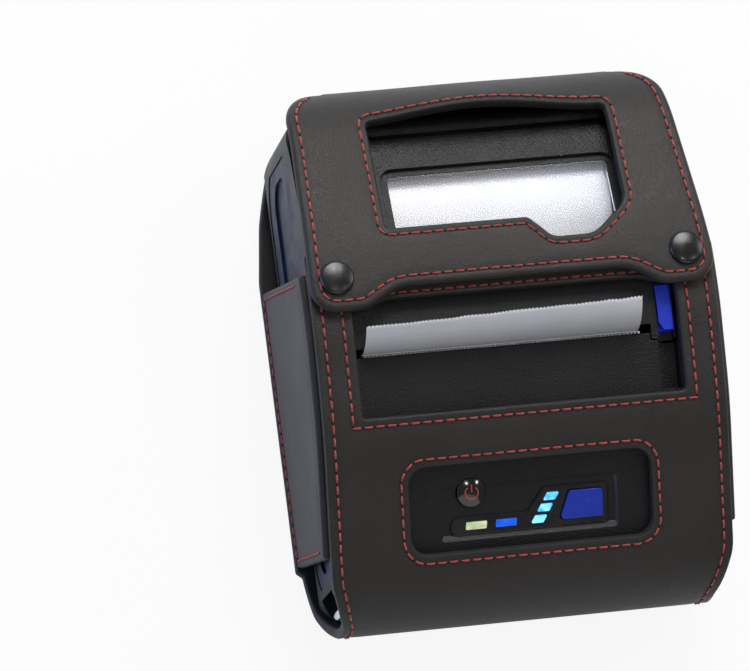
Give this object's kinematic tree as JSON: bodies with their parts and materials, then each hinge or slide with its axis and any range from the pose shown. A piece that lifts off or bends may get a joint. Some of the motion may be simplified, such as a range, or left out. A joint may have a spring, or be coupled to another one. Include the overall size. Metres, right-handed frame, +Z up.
{
  "type": "portable thermal printer",
  "caption": "Palm-sized thermal receipt printer in a stitched leather case: snap flap over a hinged paper lid with window and release lever, sloped operation panel, torn paper tongue.",
  "frame": {"origin": "on the outside of the leather back, midway between the machine's two sides and midway between its near and far ends", "axes": "+X across the paper towards the release lever, +Y from the operation panel towards the paper roll and the fold of the flap, +Z up out of the lid's window"},
  "size_m": [0.088, 0.1138, 0.055],
  "materials": {
    "case_leather": "matte fine grain, dark brown black",
    "shell_black": "fine spark texture",
    "lid_black": "coarse spark texture",
    "trim_grey": "smooth",
    "panel_gloss": "polished black",
    "feed_key": "polished blue",
    "lever_blue": "coarse texture",
    "clear_pane": "clear",
    "lamp_white": "diffuse",
    "lamp_blue": "diffuse",
    "lamp_cyan": "diffuse",
    "paper_white": "smooth thermal paper",
    "core_card": "plain",
    "platen_rubber": "ground smooth",
    "shaft_steel": "ground",
    "sheet_steel": "zinc plated sheet",
    "gear_plastic": "moulded",
    "bush_plastic": "moulded",
    "sink_alloy": "extruded",
    "head_ceramic": "glazed heater line",
    "board_green": "solder resist",
    "chip_black": "moulded",
    "switch_metal": "pressed",
    "trough_black": "moulded",
    "battery_case": "moulded",
    "loop_chrome": "bright plated wire",
    "snap_black": "satin black domed",
    "snap_steel": "plated"
  },
  "bodies": {
    "machine": {"back_shell": "shell_black", "front_shell": "shell_black", "side_trim_left": "trim_grey", "side_trim_right": "trim_grey", "strap_loop_left": "loop_chrome", "strap_loop_right": "loop_chrome", "shell_screws": "shaft_steel", "battery_pack": "battery_case", "main_board": "board_green", "board_parts": "chip_black", "led_bezel": "panel_gloss", "power_light": "lamp_white", "error_light": "lamp_blue", "battery_lights": "lamp_cyan", "panel_board": "board_green", "panel_switches": "switch_metal", "lid_hinge_pin": "shaft_steel", "idler_pin": "shaft_steel", "feed_motor": "sheet_steel", "mech_frame": "sheet_steel", "print_head": "head_ceramic", "head_heat_sink": "sink_alloy", "head_springs": "shaft_steel", "tear_bar": "shaft_steel", "paper_trough": "trough_black", "paper_web": "paper_white", "case_wrap": "case_leather", "flap_tail": "case_leather", "gusset_left": "case_leather", "gusset_right": "case_leather", "snap_studs": "snap_steel"},
    "flap": {"case_flap": "case_leather", "flap_band": "case_leather", "snap_caps": "snap_black", "snap_sockets": "snap_steel"},
    "lid": {"paper_lid": "lid_black", "lid_window": "clear_pane", "platen_bushes": "bush_plastic", "paper_tongue": "paper_white"},
    "lever": {"release_lever": "lever_blue"},
    "platen": {"platen_roller": "platen_rubber", "platen_shaft": "shaft_steel", "platen_gear": "gear_plastic"},
    "idler": {"idler_gear": "gear_plastic"},
    "pinion": {"motor_pinion": "gear_plastic"},
    "roll": {"paper_roll": "paper_white", "roll_core": "core_card"},
    "power_key": {"power_button": "panel_gloss"},
    "feed_key": {"feed_button": "feed_key"}
  },
  "joints": [
    {"name": "flap_hinge", "type": "hinge", "parent": "machine", "child": "flap", "pos_m": [0, 0.0581, 0.0187], "axis": [-1, 0, 0], "range_deg": [0, 110]},
    {"name": "lid_hinge", "type": "hinge", "parent": "machine", "child": "lid", "pos_m": [0, 0.0468, 0.03328], "axis": [-1, 0, 0], "range_deg": [0, 71.5]},
    {"name": "lever_slide", "type": "slide", "parent": "lid", "child": "lever", "axis": [0, -1, 0], "range_m": [0, 0.0025], "stiffness_N_per_m": 400, "springref_m": -0.001},
    {"name": "platen_spin", "type": "hinge", "parent": "lid", "child": "platen", "pos_m": [0, 0.002, 0.0359], "axis": [1, 0, 0], "continuous": true},
    {"name": "idler_spin", "type": "hinge", "parent": "machine", "child": "idler", "pos_m": [0.0314, 0.002, 0.0229], "axis": [1, 0, 0], "continuous": true},
    {"name": "pinion_spin", "type": "hinge", "parent": "machine", "child": "pinion", "pos_m": [0.0314, -0.00827, 0.02072], "axis": [1, 0, 0], "continuous": true},
    {"name": "roll_spin", "type": "hinge", "parent": "machine", "child": "roll", "pos_m": [0, 0.0275, 0.02271], "axis": [1, 0, 0], "continuous": true},
    {"name": "power_press", "type": "slide", "parent": "machine", "child": "power_key", "axis": [0, 0.3939, -0.9191], "range_m": [0, 0.0005], "stiffness_N_per_m": 1500, "springref_m": -0.0003},
    {"name": "feed_press", "type": "slide", "parent": "machine", "child": "feed_key", "axis": [0, 0.3939, -0.9191], "range_m": [0, 0.0005], "stiffness_N_per_m": 1500, "springref_m": -0.0003}
  ],
  "couplings": [
    {"joint": "lid_hinge", "follows": "flap_hinge", "ratio": 0.65},
    {"joint": "platen_spin", "follows": "roll_spin", "ratio": -3.5464},
    {"joint": "idler_spin", "follows": "roll_spin", "ratio": 2.6007},
    {"joint": "pinion_spin", "follows": "roll_spin", "ratio": -6.5017}
  ]
}
